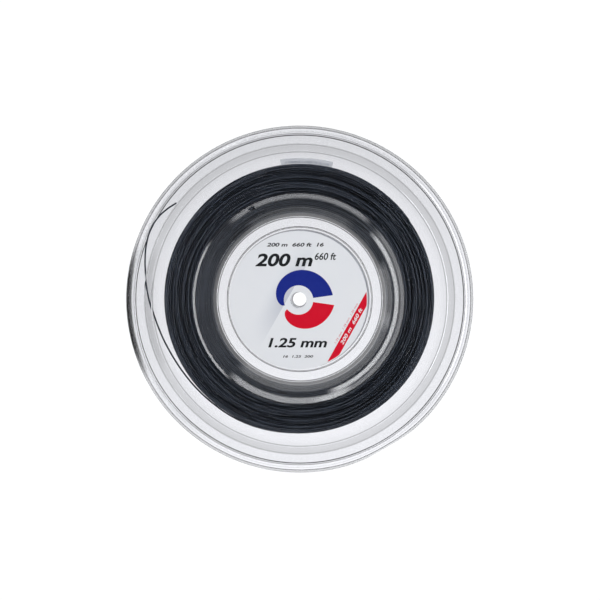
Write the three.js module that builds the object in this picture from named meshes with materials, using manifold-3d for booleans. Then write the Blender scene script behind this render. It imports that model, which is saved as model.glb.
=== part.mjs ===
// A transparent string reel for racket stringing: two clear moulded halves, the wound string with its
// loose outer end, and the paper labels. Millimetres, +Z up. The reel lies flat on its rear half, with its
// axis on Z, its rest face at z = 0, and the front half on top.

import * as THREE from "three";
import { mergeVertices } from "three/addons/utils/BufferGeometryUtils.js";
import Module from "manifold-3d";

const wasm = await Module();
wasm.setup();

// ---------------------------------------------------------------- driving dimensions

const REEL_RADIUS = 130;
const REEL_WIDTH = 24;
const MID_PLANE = REEL_WIDTH / 2;
const WALL = 1.5;

const SPINDLE_HOLE_RADIUS = 5;
const SPIGOT_RADIUS = 6.5; // the rear half's spigot enters the front half's hole
const SPIGOT_CLEARANCE = 0.3;
const FLOORS_GAP = 0.3; // between the two hub floors, either side of the weld
const LIPS_GAP = 1.2; // the slit between the two rims that the string is drawn out of

const LABEL_RECESS_RADIUS = 54;
const LABEL_RECESS_DEPTH = 0.4;
const HUB_FLOOR_RADIUS = 62; // where the floor turns up into the hub wall
const HUB_TOP_RADIUS = 79.3; // where the hub wall turns out into the web
const WEB_RADIUS = 110;
const STEP_RADIUS = 115.8;
const STEP_HEIGHT = 4;
const HUB_BOW = 0.7; // how far the corner halfway up the hub wall stands out of its straight line
const HUB_BOW_BEND = 90; // the large radius that turns that corner into a shallow bow
const HUB_FLOOR_BEND = 2;
const HUB_TOP_BEND = 6.5;
const STEP_BEND = 1;
const RIM_BEND = 6.6; // the radius that the rim rolls over with, at the middle of its wall
const RING_SEGMENTS = 72;
const ARC_STEP = 18; // the most degrees between two points of a fillet

const STRING_DIAMETER = 1.25;
const WINDING_RADIUS = 100.8;
const WINDING_CLEARANCE = 0.3;
const TUBE_SIDES = 8;
const TUBE_STEP = 2.5 * STRING_DIAMETER;

const LABEL_RADIUS = 51.8;
const LABEL_HOLE_RADIUS = 6;
const LABEL_THICKNESS = 0.12;
const GLUE_GAP = 0.05;
const LABEL_OFFSET = [-0.9, -0.7]; // the front label is stuck on slightly off centre

const STICKER_INNER_RADIUS = 88;
const STICKER_OUTER_RADIUS = 106.6;
const STICKER_ANGLES = [76.3, 98];
const STICKER_THICKNESS = 0.1;
const STICKER_STEPS = 12;

const ANCHOR_ANGLE = 117; // the slot in the hub wall that holds the string's inner end
const ANCHOR_RADIUS = 76.6;
const ANCHOR_SLOT_WIDTH = 2.1;
const ANCHOR_SLOT_LENGTH = 3.8;

// The loose outer end from the winding to its cut tip: angle in degrees, radius, height.
const TAIL_ROUTE = [
  [235, 101.85, 10.2],
  [228, 101.95, 10.4],
  [220.7, 102.4, 10.8],
  [214, 103.0, 11.2],
  [207, 104.0, 11.7],
  [201.5, 105.1, 12.1],
  [196.3, 106.5, 12.5],
  [191.5, 107.9, 12.8],
  [186.8, 109.6, 13.0],
  [180, 112.6, 13.2],
  [175, 114.9, 13.2],
  [170.5, 117.1, 13.1],
  [165, 119.9, 12.9],
  [160, 122.1, 12.6],
  [155, 123.3, 12.3],
  [150, 122.5, 12.1],
  [146, 120.3, 12.0],
  [142, 117.2, 12.0],
];

// ---------------------------------------------------------------- helpers

const radians = (degrees) => (degrees * Math.PI) / 180;

const polar = (degrees, radius, height) =>
  new THREE.Vector3(
    radius * Math.cos(radians(degrees)),
    radius * Math.sin(radians(degrees)),
    height,
  );

function plastic(color, roughness, opacity = 1) {
  return new THREE.MeshStandardMaterial({
    color,
    roughness,
    metalness: 0,
    opacity,
    transparent: opacity < 1,
  });
}

// Rounds the corners of a path of { r, z, fillet } points with arcs and gives it back as points.
function filletedPath(corners) {
  const points = [];
  corners.forEach(({ r, z, fillet }, i) => {
    const corner = new THREE.Vector2(r, z);
    if (!fillet) {
      points.push(corner);
      return;
    }
    const before = new THREE.Vector2(corners[i - 1].r, corners[i - 1].z).sub(corner).normalize();
    const after = new THREE.Vector2(corners[i + 1].r, corners[i + 1].z).sub(corner).normalize();
    const half = Math.acos(before.dot(after)) / 2;
    const toCentre = before.clone().add(after).normalize();
    const centre = corner.clone().addScaledVector(toCentre, fillet / Math.sin(half));
    const first = corner.clone().addScaledVector(before, fillet / Math.tan(half)).sub(centre);
    const last = corner.clone().addScaledVector(after, fillet / Math.tan(half)).sub(centre);
    const turn = Math.atan2(first.cross(last), first.dot(last));
    const steps = Math.ceil(Math.abs(turn) / radians(ARC_STEP));
    for (let k = 0; k <= steps; k += 1) {
      const spoke = first.clone().rotateAround(new THREE.Vector2(), (turn * k) / steps);
      points.push(spoke.add(centre));
    }
  });
  return points;
}

// Moves a path sideways by a distance, to its right when it is walked from its first point.
function offsetPath(points, distance) {
  return points.map((point, i) => {
    const sides = [
      [points[i - 1], point],
      [point, points[i + 1]],
    ]
      .filter(([a, b]) => a && b)
      .map(([a, b]) => new THREE.Vector2(b.y - a.y, a.x - b.x).normalize());
    const normal = sides.reduce((sum, side) => sum.add(side), new THREE.Vector2()).normalize();
    return point.clone().addScaledVector(normal, distance / normal.dot(sides[0]));
  });
}

// Turns a closed profile of [radius, height] points round the Z axis.
function ring(profile) {
  const points = profile.map(([radius, height]) => new THREE.Vector2(radius, height));
  points.push(points[0].clone());
  return new THREE.LatheGeometry(points, RING_SEGMENTS).rotateX(Math.PI / 2);
}

// A round tube of the string's diameter along a smooth curve through points.
function stringTube(points) {
  const path = new THREE.CatmullRomCurve3(points, false, "centripetal");
  const corners = Array.from({ length: TUBE_SIDES }, (_, k) => {
    const angle = (2 * Math.PI * k) / TUBE_SIDES;
    const radius = STRING_DIAMETER / 2;
    return new THREE.Vector2(radius * Math.cos(angle), radius * Math.sin(angle));
  });
  return new THREE.ExtrudeGeometry(new THREE.Shape(corners), {
    extrudePath: path,
    steps: Math.ceil(path.getLength() / TUBE_STEP),
  });
}

function solid(geometry) {
  const plain = new THREE.BufferGeometry();
  plain.setAttribute("position", geometry.getAttribute("position"));
  plain.setIndex(geometry.getIndex());
  const merged = mergeVertices(plain, 1e-4);
  return new wasm.Manifold(
    new wasm.Mesh({
      numProp: 3,
      vertProperties: merged.getAttribute("position").array,
      triVerts: Uint32Array.from(merged.getIndex().array),
    }),
  );
}

function cut(geometry, tool) {
  const { vertProperties, triVerts } = solid(geometry).subtract(solid(tool)).getMesh();
  return new THREE.BufferGeometry()
    .setAttribute("position", new THREE.BufferAttribute(vertProperties, 3))
    .setIndex(new THREE.BufferAttribute(triVerts, 1));
}

const reel = new THREE.Group();
reel.name = "string_reel";

function place(name, geometry, material) {
  const mesh = new THREE.Mesh(geometry, material);
  mesh.name = name;
  reel.add(mesh);
  return mesh;
}

// ---------------------------------------------------------------- the two halves

const FLOOR_INNER = MID_PLANE - FLOORS_GAP / 2;
const FLOOR_OUTER = FLOOR_INNER - WALL;
const RECESS_FLOOR = FLOOR_OUTER + LABEL_RECESS_DEPTH;
const LIP_HEIGHT = MID_PLANE - LIPS_GAP / 2;
const HALF_WALL = WALL / 2;

// The corner halfway up the rear hub wall, moved out square to the wall's straight line.
function hubBowCorner() {
  const run = HUB_TOP_RADIUS - HUB_FLOOR_RADIUS;
  const fall = FLOOR_OUTER;
  const length = Math.hypot(run, fall);
  return {
    r: (HUB_FLOOR_RADIUS + HUB_TOP_RADIUS) / 2 - (HUB_BOW * fall) / length,
    z: FLOOR_OUTER / 2 + HALF_WALL - (HUB_BOW * run) / length,
  };
}

// The middle of the rear half's wall from the hub floor to the rim's lip.
function wallPath() {
  const floor = FLOOR_OUTER + HALF_WALL;
  const band = STEP_HEIGHT + HALF_WALL;
  return filletedPath([
    { r: LABEL_RECESS_RADIUS + 1, z: floor },
    { r: HUB_FLOOR_RADIUS, z: floor, fillet: HUB_FLOOR_BEND },
    { ...hubBowCorner(), fillet: HUB_BOW_BEND },
    { r: HUB_TOP_RADIUS, z: HALF_WALL, fillet: HUB_TOP_BEND },
    { r: WEB_RADIUS, z: HALF_WALL, fillet: STEP_BEND },
    { r: STEP_RADIUS, z: band, fillet: STEP_BEND },
    { r: REEL_RADIUS - HALF_WALL, z: band, fillet: RIM_BEND },
    { r: REEL_RADIUS - HALF_WALL, z: LIP_HEIGHT },
  ]);
}

// The closed section of a half, with the hub's middle given as its own few points.
function halfSection(middle) {
  const wall = wallPath();
  const outside = offsetPath(wall, HALF_WALL).map(({ x, y }) => [x, y]);
  const inside = offsetPath(wall, -HALF_WALL).map(({ x, y }) => [x, y]);
  const recess = [
    [LABEL_RECESS_RADIUS, RECESS_FLOOR],
    [LABEL_RECESS_RADIUS, FLOOR_OUTER],
  ];
  return [...middle, ...recess, ...outside, ...inside.reverse()];
}

function rearShell() {
  const spigotTop = REEL_WIDTH - RECESS_FLOOR - 0.1;
  return ring(
    halfSection([
      [SPIGOT_RADIUS, FLOOR_INNER],
      [SPIGOT_RADIUS, spigotTop],
      [SPINDLE_HOLE_RADIUS, spigotTop],
      [SPINDLE_HOLE_RADIUS, RECESS_FLOOR],
    ]),
  );
}

// The anchor slot's middle on the front hub wall, with the wall's outward normal and the way round.
function anchorFrame() {
  const bow = hubBowCorner();
  const rise = bow.z - HALF_WALL;
  const run = HUB_TOP_RADIUS - bow.r;
  const height = REEL_WIDTH - HALF_WALL - ((HUB_TOP_RADIUS - ANCHOR_RADIUS) * rise) / run;
  const inward = polar(ANCHOR_ANGLE, -1, 0);
  const normal = inward.multiplyScalar(rise).add(new THREE.Vector3(0, 0, run)).normalize();
  const round = polar(ANCHOR_ANGLE + 90, 1, 0);
  return { middle: polar(ANCHOR_ANGLE, ANCHOR_RADIUS, height), normal, round };
}

// A slot with round ends that runs straight through the hub wall.
function anchorSlotTool() {
  const { middle, normal, round } = anchorFrame();
  const end = ANCHOR_SLOT_WIDTH / 2;
  const half = ANCHOR_SLOT_LENGTH / 2 - end;
  const outline = new THREE.Shape();
  outline.absarc(half, 0, end, -Math.PI / 2, Math.PI / 2);
  outline.absarc(-half, 0, end, Math.PI / 2, (3 * Math.PI) / 2);
  const depth = 3 * WALL;
  const tool = new THREE.ExtrudeGeometry(outline, { depth, bevelEnabled: false, curveSegments: 6 });
  const across = new THREE.Vector3().crossVectors(normal, round);
  return tool
    .translate(half, 0, -depth / 2)
    .applyMatrix4(new THREE.Matrix4().makeBasis(round, across, normal).setPosition(middle));
}

function frontShell() {
  const holeRadius = SPIGOT_RADIUS + SPIGOT_CLEARANCE;
  const rear = halfSection([
    [holeRadius, FLOOR_INNER],
    [holeRadius, RECESS_FLOOR],
  ]);
  const turned = rear.map(([radius, height]) => [radius, REEL_WIDTH - height]).reverse();
  return cut(ring(turned), anchorSlotTool());
}

// ---------------------------------------------------------------- the string

// The wound mass fills the space between the hub walls and the webs, with a slight crown outside.
function stringWinding() {
  const face = WALL + WINDING_CLEARANCE;
  const tipHalf = 0.9;
  const tipRadius = HUB_FLOOR_RADIUS + 2.5;
  const heel = HUB_TOP_RADIUS + 0.9;
  const crown = WINDING_RADIUS - 0.5;
  const lower = [
    [tipRadius, MID_PLANE - tipHalf],
    [heel, face],
    [crown, face],
    [WINDING_RADIUS, face + 3],
  ];
  const upper = lower.map(([radius, height]) => [radius, REEL_WIDTH - height]).reverse();
  return ring([...lower, ...upper]);
}

function stringTail() {
  return stringTube(TAIL_ROUTE.map(([degrees, radius, height]) => polar(degrees, radius, height)));
}

// The first few millimetres of the string, pushed out through the anchor slot and laid round the wall.
function stringInnerEnd() {
  const { middle, normal, round } = anchorFrame();
  const along = (out, around) =>
    middle.clone().addScaledVector(normal, out).addScaledVector(round, around);
  const start = along(-HALF_WALL, 0);
  const laid = HALF_WALL + STRING_DIAMETER / 2 + 0.15; // resting on the wall's outer face
  return stringTube([start, along(0.4, 0.1), along(laid - 0.3, 0.8), along(laid, 2.2), along(laid, 3.8)]);
}

// ---------------------------------------------------------------- labels

// A paper ring glued into a half's recess: low is its lower face.
function label(low) {
  const high = low + LABEL_THICKNESS;
  return ring([
    [LABEL_HOLE_RADIUS, low],
    [LABEL_RADIUS, low],
    [LABEL_RADIUS, high],
    [LABEL_HOLE_RADIUS, high],
  ]);
}

// A curved sticker on the rear web, inside the reel, partly behind the winding.
function batchSticker() {
  const [first, last] = STICKER_ANGLES.map(radians);
  const outline = new THREE.Shape();
  for (let k = 0; k <= STICKER_STEPS; k += 1) {
    const angle = first + ((last - first) * k) / STICKER_STEPS;
    const point = [STICKER_OUTER_RADIUS * Math.cos(angle), STICKER_OUTER_RADIUS * Math.sin(angle)];
    if (k === 0) outline.moveTo(...point);
    else outline.lineTo(...point);
  }
  for (let k = STICKER_STEPS; k >= 0; k -= 1) {
    const angle = first + ((last - first) * k) / STICKER_STEPS;
    outline.lineTo(STICKER_INNER_RADIUS * Math.cos(angle), STICKER_INNER_RADIUS * Math.sin(angle));
  }
  const sheet = { depth: STICKER_THICKNESS, bevelEnabled: false };
  return new THREE.ExtrudeGeometry(outline, sheet).translate(0, 0, WALL + GLUE_GAP);
}

// ---------------------------------------------------------------- the assembly

place("rear_shell", rearShell(), plastic(0xe6e8eb, 0.08, 0.3));
place("front_shell", frontShell(), plastic(0xe6e8ec, 0.08, 0.3));
place("string_winding", stringWinding(), plastic(0x23272d, 0.35));
place("string_tail", stringTail(), plastic(0x24282e, 0.35));
place("string_inner_end", stringInnerEnd(), plastic(0x25292f, 0.35));

const frontLabel = place("front_label", label(REEL_WIDTH - RECESS_FLOOR + GLUE_GAP), plastic(0xdee1e6, 0.6));
frontLabel.position.set(...LABEL_OFFSET, 0);
place("rear_label", label(RECESS_FLOOR - GLUE_GAP - LABEL_THICKNESS), plastic(0xdfe2e7, 0.6));
place("batch_sticker", batchSticker(), plastic(0xc4cad1, 0.5));

export default reel;
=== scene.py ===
"""The looks of a clear plastic string reel: two moulded halves, 200 m of wound black string, paper labels.

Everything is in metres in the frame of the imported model: the reel lies flat with its axis on Z, its rear
half below and its front half, with the main label, above.
"""

import logging
import math
from dataclasses import dataclass
from enum import Enum

import bpy
import numpy as np
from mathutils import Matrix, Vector


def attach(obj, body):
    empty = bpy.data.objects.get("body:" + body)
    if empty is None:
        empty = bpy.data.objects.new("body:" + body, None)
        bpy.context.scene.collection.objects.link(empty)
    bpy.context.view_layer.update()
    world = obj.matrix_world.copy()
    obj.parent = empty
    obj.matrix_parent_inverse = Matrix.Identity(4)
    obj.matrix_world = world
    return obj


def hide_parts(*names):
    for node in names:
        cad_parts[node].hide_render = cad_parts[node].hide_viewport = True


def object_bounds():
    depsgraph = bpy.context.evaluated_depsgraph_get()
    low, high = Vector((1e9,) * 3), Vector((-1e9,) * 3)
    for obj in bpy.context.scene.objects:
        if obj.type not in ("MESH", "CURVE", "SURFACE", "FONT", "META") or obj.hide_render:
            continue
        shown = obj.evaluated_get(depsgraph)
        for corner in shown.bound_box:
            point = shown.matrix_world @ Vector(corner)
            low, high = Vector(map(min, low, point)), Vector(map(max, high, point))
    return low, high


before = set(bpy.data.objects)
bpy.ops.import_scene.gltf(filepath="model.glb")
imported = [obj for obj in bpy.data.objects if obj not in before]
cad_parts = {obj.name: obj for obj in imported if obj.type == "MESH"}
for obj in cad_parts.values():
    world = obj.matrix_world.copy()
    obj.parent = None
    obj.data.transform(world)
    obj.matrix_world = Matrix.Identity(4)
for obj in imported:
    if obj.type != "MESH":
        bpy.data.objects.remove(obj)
CAD_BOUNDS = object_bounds()

logging.basicConfig(level=logging.INFO, format="%(name)s: %(message)s")
log = logging.getLogger("string_reel")

MM = 0.001
REEL_RADIUS = float(CAD_BOUNDS[1][0])
REEL_WIDTH = float(CAD_BOUNDS[1][2])
MID_PLANE = REEL_WIDTH / 2
WALL = 1.5 * MM
STRING_DIAMETER = 1.25 * MM
FLOORS_GAP = 0.3 * MM
FLOOR_INNER = MID_PLANE - FLOORS_GAP / 2
FLOOR_OUTER = FLOOR_INNER - WALL
RECESS_FLOOR = FLOOR_OUTER + 0.4 * MM
SHEET_EDGE = 0.03 * MM
INK_FILM = 0.02 * MM
FRONT_LABEL_CENTRE = (-0.9 * MM, -0.7 * MM)


class Side(Enum):
    """Which way a piece faces: the half above or the half below."""

    FRONT = "front"
    REAR = "rear"


# ---------------------------------------------------------------- numbers, meshes and nodes


def linear(code: str) -> tuple[float, float, float, float]:
    """Turns an sRGB hex colour to linear light.

    Args:
        code: six hex digits, with or without a leading hash.

    Returns:
        Red, green, blue and an alpha of 1, as a shader socket takes them.
    """
    channels = np.array([int(code.lstrip("#")[i : i + 2], 16) / 255 for i in (0, 2, 4)])
    light = np.where(channels <= 0.04045, channels / 12.92, ((channels + 0.055) / 1.055) ** 2.4)
    return (*(float(v) for v in light), 1.0)


def polar(degrees: np.ndarray | float, radius: np.ndarray | float, height: np.ndarray | float) -> np.ndarray:
    """Points at an angle, radius and height round the reel's axis.

    Args:
        degrees: angle from +X towards +Y.
        radius: distance from the axis in metres.
        height: Z in metres.

    Returns:
        An array whose last axis is x, y, z.
    """
    angle = np.radians(degrees)
    parts = np.broadcast_arrays(radius * np.cos(angle), radius * np.sin(angle), height)
    return np.stack(parts, axis=-1)


def turned_over(points: np.ndarray) -> np.ndarray:
    """Turns points over to the other half's place, by half a turn about the mid-plane's Y line."""
    return points * np.array([-1.0, 1.0, -1.0]) + np.array([0.0, 0.0, REEL_WIDTH])


def smooth_step(share: np.ndarray) -> np.ndarray:
    """Eases a share, held between 0 and 1: three times its square, less twice its cube."""
    share = np.clip(share, 0, 1)
    return share * share * (3 - 2 * share)


def grid_quads(rows: int, columns: int, wrap_rows: bool = False, wrap_columns: bool = False) -> np.ndarray:
    """Faces of a grid of points numbered row by row.

    Args:
        rows: how many rows of points.
        columns: how many points in a row.
        wrap_rows: whether the last row joins the first.
        wrap_columns: whether the last point of a row joins its first.

    Returns:
        An array of quads, each four point numbers.
    """
    i = np.arange(rows if wrap_rows else rows - 1)[:, None]
    j = np.arange(columns if wrap_columns else columns - 1)[None, :]
    below, beside = (i + 1) % rows, (j + 1) % columns
    corners = (i * columns + j, i * columns + beside, below * columns + beside, below * columns + j)
    return np.stack(np.broadcast_arrays(*corners), axis=-1).reshape(-1, 4)


def new_piece(
    name: str,
    points: np.ndarray,
    quads: np.ndarray,
    material: bpy.types.Material,
    ngons: tuple[np.ndarray, ...] = (),
    crease: float = 40.0,
) -> bpy.types.Object:
    """Makes a mesh object from arrays and lets it ride on the reel.

    Args:
        name: the piece's name.
        points: its points, any shape whose last axis is x, y, z.
        quads: four point numbers a face.
        material: its finish.
        ngons: further faces of any number of corners.
        crease: edges sharper than this many degrees are shaded as edges.

    Returns:
        The new object.
    """
    mesh = bpy.data.meshes.new(name)
    loops = np.concatenate([quads.ravel(), *ngons]).astype(np.int32)
    sizes = np.concatenate([np.full(len(quads), 4), [len(n) for n in ngons]]).astype(np.int32)
    mesh.vertices.add(points.size // 3)
    mesh.vertices.foreach_set("co", points.astype(np.float32).ravel())
    mesh.loops.add(len(loops))
    mesh.loops.foreach_set("vertex_index", loops)
    mesh.polygons.add(len(sizes))
    mesh.polygons.foreach_set("loop_start", np.concatenate([[0], np.cumsum(sizes)[:-1]]).astype(np.int32))
    mesh.update(calc_edges=True)
    mesh.validate()
    mesh.shade_smooth()
    mesh.set_sharp_from_angle(angle=math.radians(crease))
    mesh.materials.append(material)
    piece = bpy.data.objects.new(name, mesh)
    bpy.context.scene.collection.objects.link(piece)
    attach(piece, "root")
    log.info("%s: %d points, %d faces", name, len(mesh.vertices), len(mesh.polygons))
    return piece


def coordinates(mesh: bpy.types.Mesh) -> np.ndarray:
    """Reads a mesh's points.

    Args:
        mesh: the mesh.

    Returns:
        An array with a row of x, y, z for each point.
    """
    co = np.empty(len(mesh.vertices) * 3, np.float32)
    mesh.vertices.foreach_get("co", co)
    return co.reshape(-1, 3)


def carried_round(
    name: str, line: np.ndarray, material: bpy.types.Material, sides: int, radius: float = STRING_DIAMETER / 2
) -> bpy.types.Object:
    """Carries a round section along a line that is never upright, and closes both ends.

    A point is the line's point plus the radius times the cosine of its section angle sideways and its
    sine upwards, where sideways is square to the line and level, and upwards is square to both.

    Args:
        name: the piece's name.
        line: the points that the section's middle follows.
        material: the finish.
        sides: how many sides the section has.
        radius: the section's radius.

    Returns:
        The piece.
    """
    ahead = np.gradient(line, axis=0)
    ahead /= np.linalg.norm(ahead, axis=1)[:, None]
    sideways = np.cross(ahead, [0.0, 0.0, 1.0])
    sideways /= np.linalg.norm(sideways, axis=1)[:, None]
    upwards = np.cross(sideways, ahead)
    turn = np.linspace(0, 2 * math.pi, sides, endpoint=False)
    ring = np.cos(turn)[:, None] * sideways[:, None] + np.sin(turn)[:, None] * upwards[:, None]
    points = line[:, None] + ring * radius
    quads = grid_quads(len(line), sides, wrap_columns=True)
    first = np.arange(sides)[::-1]
    last = np.arange(sides) + (len(line) - 1) * sides
    return new_piece(name, points, quads, material, ngons=(first, last), crease=80)


def rounded_section(corners: list[tuple[float, float, float]], step: float = 9.0) -> np.ndarray:
    """Rounds the corners of a closed section with arcs.

    Each corner's arc has its centre on the corner's bisector, at its radius over the sine of half the
    corner's angle. A point just past each end of an arc keeps the flat faces beside it flat when the
    surface is shaded smooth.

    Args:
        corners: (radius from the axis, height, rounding radius), counter-clockwise.
        step: the most degrees between two points of an arc.

    Returns:
        The rounded section as an array of (radius, height).
    """
    places = np.array([c[:2] for c in corners])
    found = []
    for place, before, after, rounding in zip(
        places, np.roll(places, 1, axis=0), np.roll(places, -1, axis=0), (c[2] for c in corners), strict=True
    ):
        back = (before - place) / np.linalg.norm(before - place)
        on = (after - place) / np.linalg.norm(after - place)
        half = math.acos(float(np.clip(back @ on, -1, 1))) / 2
        reach = rounding / math.tan(half)
        bisector = (back + on) / np.linalg.norm(back + on)
        centre = place + bisector * rounding / math.sin(half)
        first, last = place + back * reach - centre, place + on * reach - centre
        turn = math.atan2(first[0] * last[1] - first[1] * last[0], float(first @ last))
        angle = np.linspace(0, turn, max(3, math.ceil(abs(math.degrees(turn)) / step)) + 1)
        across = np.array([-first[1], first[0]])
        arc = centre + np.cos(angle)[:, None] * first + np.sin(angle)[:, None] * across
        support = min(0.12 * MM, rounding * 0.5)
        found += [arc[:1] + back * support, arc, arc[-1:] + on * support]
    return np.concatenate(found)


def sheet_section(inner: float, outer: float, low: float, thickness: float) -> np.ndarray:
    """The section of a thin flat sheet with softly rounded edges.

    Args:
        inner: its inner radius.
        outer: its outer radius.
        low: the height of its lower face.
        thickness: how thick it is.

    Returns:
        The section as an array of (radius, height).
    """
    high = low + thickness
    corners = ((inner, low), (outer, low), (outer, high), (inner, high))
    return rounded_section([(radius, height, SHEET_EDGE) for radius, height in corners])


def turned_section(section: np.ndarray, segments: int) -> tuple[np.ndarray, np.ndarray]:
    """Turns a closed section round the reel's axis.

    Args:
        section: an array of (radius, height).
        segments: how many steps there are in the full turn.

    Returns:
        The points, a row for each point of the section, and the faces.
    """
    angle = np.linspace(0, 360, segments, endpoint=False)
    points = polar(angle[None, :], section[:, :1], section[:, 1:])
    return points, grid_quads(len(section), segments, wrap_rows=True, wrap_columns=True)


def new_node(
    tree: bpy.types.NodeTree, kind: str, inputs: dict | tuple = (), **settings: object
) -> bpy.types.Node:
    """Adds a node with its settings, its plain values and its links.

    Args:
        tree: the node tree.
        kind: the node's type name without its ShaderNode prefix.
        inputs: what the sockets get, by name or number, or as a tuple in the sockets' own order. Each is
            a plain value, the output socket that feeds it, or a node whose first output does.
        settings: the node's own attributes.

    Returns:
        The new node.
    """
    made = tree.nodes.new(f"ShaderNode{kind}")
    for key, value in settings.items():
        setattr(made, key, value)
    for key, value in inputs.items() if isinstance(inputs, dict) else enumerate(inputs):
        source = value.outputs[0] if isinstance(value, bpy.types.Node) else value
        if isinstance(source, bpy.types.NodeSocket):
            tree.links.new(source, made.inputs[key])
        else:
            made.inputs[key].default_value = source
    return made


def new_material(name: str) -> tuple[bpy.types.Material, bpy.types.NodeTree, bpy.types.NodeSocket]:
    """Makes a node material with nothing in it but the point's place.

    Args:
        name: the material's name.

    Returns:
        The material, its node tree and the socket that gives a point's place on the piece.
    """
    material = bpy.data.materials.new(name)
    material.use_nodes = True
    tree = material.node_tree
    tree.nodes.clear()
    return material, tree, new_node(tree, "TexCoord").outputs["Object"]


def patchy(
    tree: bpy.types.NodeTree,
    place: bpy.types.NodeSocket,
    width: float,
    detail: float,
    colours: tuple[str, str],
) -> bpy.types.Node:
    """Mixes two near colours in soft patches, by a noise.

    Args:
        tree: the material's node tree.
        place: the point on the piece.
        width: about how wide a patch is.
        detail: how many times finer patches are laid over it.
        colours: the two colours as hex digits.

    Returns:
        The node that gives the colour.
    """
    patches = new_node(tree, "TexNoise", {"Vector": place, "Scale": 1 / width, "Detail": detail})
    return new_node(tree, "MixRGB", (patches, *(linear(colour) for colour in colours)))


# ---------------------------------------------------------------- finishes


@dataclass(frozen=True)
class CrystalPolystyrene:
    """Clear general-purpose polystyrene, injection moulded in a polished tool.

    Its high refraction gives the bright and dark lines along every bend, the dark ones helped by shadows
    painted on the table under it, and handling leaves faint scuffs that soften the reflections in patches.
    """

    tint: str = "f9f9fb"
    lamp_tint: str = "f6f6f7"
    ior: float = 1.59
    gloss: float = 0.0
    scuffed: float = 0.02
    scuff_width: float = 9 * MM
    # The levels of the scuffs' noise at which they begin and at which they are full.
    scuff_levels: tuple[float, float] = (0.52, 0.78)

    def material(self, name: str) -> bpy.types.Material:
        """Builds the clear plastic.

        Lamp light goes straight through it, as it nearly does through a thin wall, so that what lies
        inside is lit without the noise of focused light.

        Args:
            name: the material's name.

        Returns:
            The material.
        """
        material, tree, place = new_material(name)
        scuffs = new_node(
            tree,
            "TexNoise",
            {"Vector": place, "Scale": 1 / self.scuff_width, "Detail": 6.0, "Roughness": 0.65},
        )
        rough = new_node(tree, "MapRange", (scuffs, *self.scuff_levels, self.gloss, self.scuffed))
        body = new_node(
            tree,
            "BsdfPrincipled",
            {
                "Base Color": linear(self.tint),
                "IOR": self.ior,
                "Transmission Weight": 1.0,
                "Roughness": rough,
            },
        )
        clear = new_node(tree, "BsdfTransparent", {"Color": linear(self.lamp_tint)})
        for_lamps = new_node(tree, "LightPath").outputs["Is Shadow Ray"]
        both = new_node(tree, "MixShader", (for_lamps, body, clear))
        new_node(tree, "OutputMaterial", {"Surface": both})
        return material


@dataclass(frozen=True)
class PolyesterMonofilament:
    """Black co-polyester string, melt-extruded and drawn.

    Its skin is satin: each turn shows a soft line of light, a little uneven from die marks.
    """

    colour: str = "1e232b"
    worn: str = "30363f"
    roughness: float = 0.25
    uneven: float = 0.05
    patch_width: float = 14 * MM
    mark_width: float = 4 * MM

    def material(self, name: str) -> bpy.types.Material:
        """Builds the string's skin.

        Args:
            name: the material's name.

        Returns:
            The material.
        """
        material, tree, place = new_material(name)
        colour = patchy(tree, place, self.patch_width, 3.0, (self.colour, self.worn))
        die_marks = new_node(tree, "TexNoise", {"Vector": place, "Scale": 1 / self.mark_width, "Detail": 2.0})
        smoothest, roughest = self.roughness - self.uneven, self.roughness + self.uneven
        rough = new_node(tree, "MapRange", (die_marks, 0.0, 1.0, smoothest, roughest))
        skin = new_node(tree, "BsdfPrincipled", {"IOR": 1.5, "Base Color": colour, "Roughness": rough})
        new_node(tree, "OutputMaterial", {"Surface": skin})
        return material


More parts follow.
